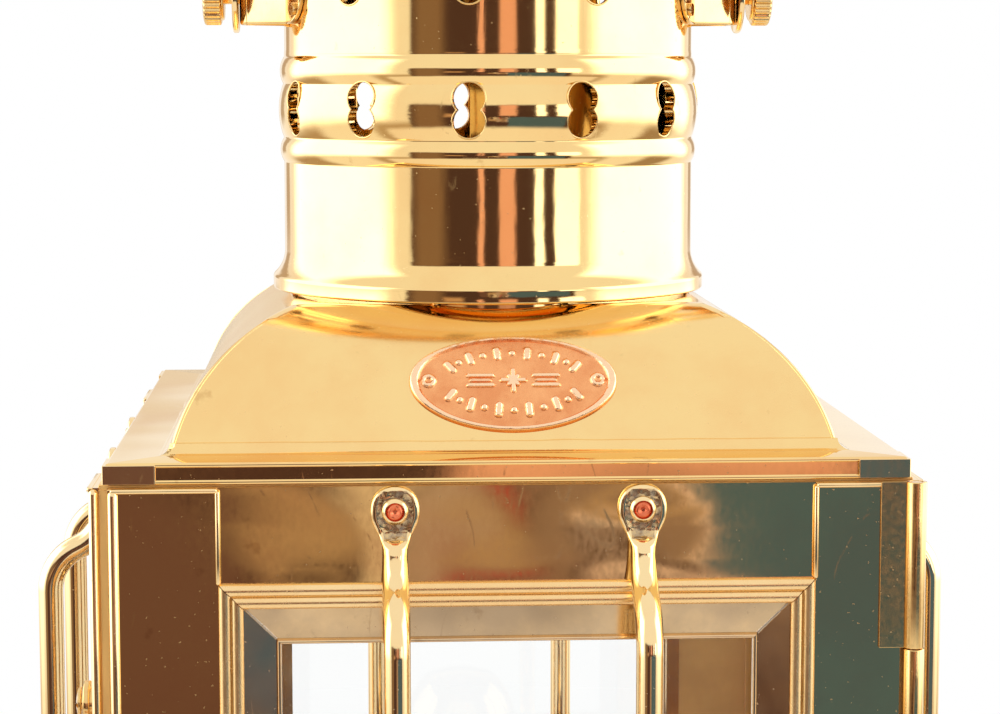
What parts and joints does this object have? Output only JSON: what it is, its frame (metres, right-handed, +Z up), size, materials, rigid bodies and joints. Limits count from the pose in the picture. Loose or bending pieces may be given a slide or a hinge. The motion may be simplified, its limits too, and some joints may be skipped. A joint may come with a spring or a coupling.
{
  "type": "ship lantern",
  "caption": "Square brass ship lantern with a hinged glazed door, guard rods on every side, curved hood, vented round chimney, swinging bail and a lift-out oil lamp.",
  "frame": {"origin": "centre of the base's underside, on the surface the lantern stands on", "axes": "+Z up, -Y out of the door, +X to the right of the door, towards its hinge"},
  "size_m": [0.226, 0.2202, 0.3936],
  "materials": {
    "polished_brass": "mirror-polished, lacquered sheet",
    "brass_hardware": "polished, with handling marks",
    "copper": "copper-coloured, lightly satin",
    "window_glass": "clear float glass",
    "cotton": "flat woven cotton"
  },
  "bodies": {
    "body": {"badge": "copper", "bail_studs": "brass_hardware", "base_tray": "polished_brass", "chimney_cap": "polished_brass", "chimney_tube": "polished_brass", "corner_posts": "polished_brass", "ear_left": "polished_brass", "ear_right": "polished_brass", "ear_rivets": "brass_hardware", "eaves_ring": "polished_brass", "hinge_pin": "brass_hardware", "hinge_wall_leaf": "brass_hardware", "hood": "polished_brass", "lamp_ring": "polished_brass", "latch_screw": "brass_hardware", "roof_corners": "polished_brass", "roof_plate": "polished_brass", "wall_back_frame": "polished_brass", "wall_back_glass": "window_glass", "wall_back_moulding": "polished_brass", "wall_back_panel": "polished_brass", "wall_back_rod_a": "polished_brass", "wall_back_rod_b": "polished_brass", "wall_back_strips": "polished_brass", "wall_left_frame": "polished_brass", "wall_left_glass": "window_glass", "wall_left_moulding": "polished_brass", "wall_left_panel": "polished_brass", "wall_left_rod_a": "polished_brass", "wall_left_rod_b": "polished_brass", "wall_left_strips": "polished_brass", "wall_right_frame": "polished_brass", "wall_right_glass": "window_glass", "wall_right_moulding": "polished_brass", "wall_right_panel": "polished_brass", "wall_right_rod_a": "polished_brass", "wall_right_rod_b": "polished_brass", "wall_right_strips": "polished_brass", "wall_rivets": "copper"},
    "door": {"door_frame": "polished_brass", "door_glass": "window_glass", "door_moulding": "polished_brass", "door_panel": "polished_brass", "door_rivets": "copper", "door_rod_a": "polished_brass", "door_rod_b": "polished_brass", "door_strips": "polished_brass", "hinge_door_leaf": "brass_hardware", "keeper": "brass_hardware"},
    "latch": {"latch_hook": "brass_hardware"},
    "bail": {"bail": "brass_hardware"},
    "nut_left": {"thumb_nut_left": "brass_hardware"},
    "nut_right": {"thumb_nut_right": "brass_hardware"},
    "lamp": {"fount": "polished_brass", "burner": "polished_brass", "deflector": "polished_brass"},
    "filler": {"filler_cap": "brass_hardware"},
    "wick": {"wick": "cotton"},
    "wheel": {"wick_wheel": "brass_hardware"}
  },
  "joints": [
    {"name": "door_hinge", "type": "hinge", "parent": "body", "child": "door", "pos_m": [0.0919, -0.0916, 0.1], "axis": [0, 0, 1], "range_deg": [0, 120]},
    {"name": "latch_turn", "type": "hinge", "parent": "body", "child": "latch", "pos_m": [-0.096, -0.078, 0.139], "axis": [-1, 0, 0], "range_deg": [-90, 62]},
    {"name": "bail_swing", "type": "hinge", "parent": "body", "child": "bail", "pos_m": [0, 0, 0.3018], "axis": [1, 0, 0], "range_deg": [-135, 135]},
    {"name": "nut_left_turn", "type": "hinge", "parent": "body", "child": "nut_left", "pos_m": [-0.069, 0, 0.3018], "axis": [-1, 0, 0], "continuous": true},
    {"name": "nut_right_turn", "type": "hinge", "parent": "body", "child": "nut_right", "pos_m": [0.069, 0, 0.3018], "axis": [1, 0, 0], "continuous": true},
    {"name": "lamp_lift", "type": "slide", "parent": "body", "child": "lamp", "axis": [0, 0, 1], "range_m": [0, 0.014]},
    {"name": "filler_turn", "type": "hinge", "parent": "lamp", "child": "filler", "pos_m": [0, -0.028, 0.055], "axis": [0, 0, 1], "continuous": true},
    {"name": "wheel_turn", "type": "hinge", "parent": "lamp", "child": "wheel", "pos_m": [0, -0.0052, 0.061], "axis": [1, 0, 0], "range_deg": [-60, 90]},
    {"name": "wick_rise", "type": "slide", "parent": "lamp", "child": "wick", "axis": [0, 0, 1], "range_m": [-0.0034, 0.0051]}
  ],
  "couplings": [
    {"joint": "wheel_turn", "follows": "wick_rise", "rad_per_m": 303}
  ]
}
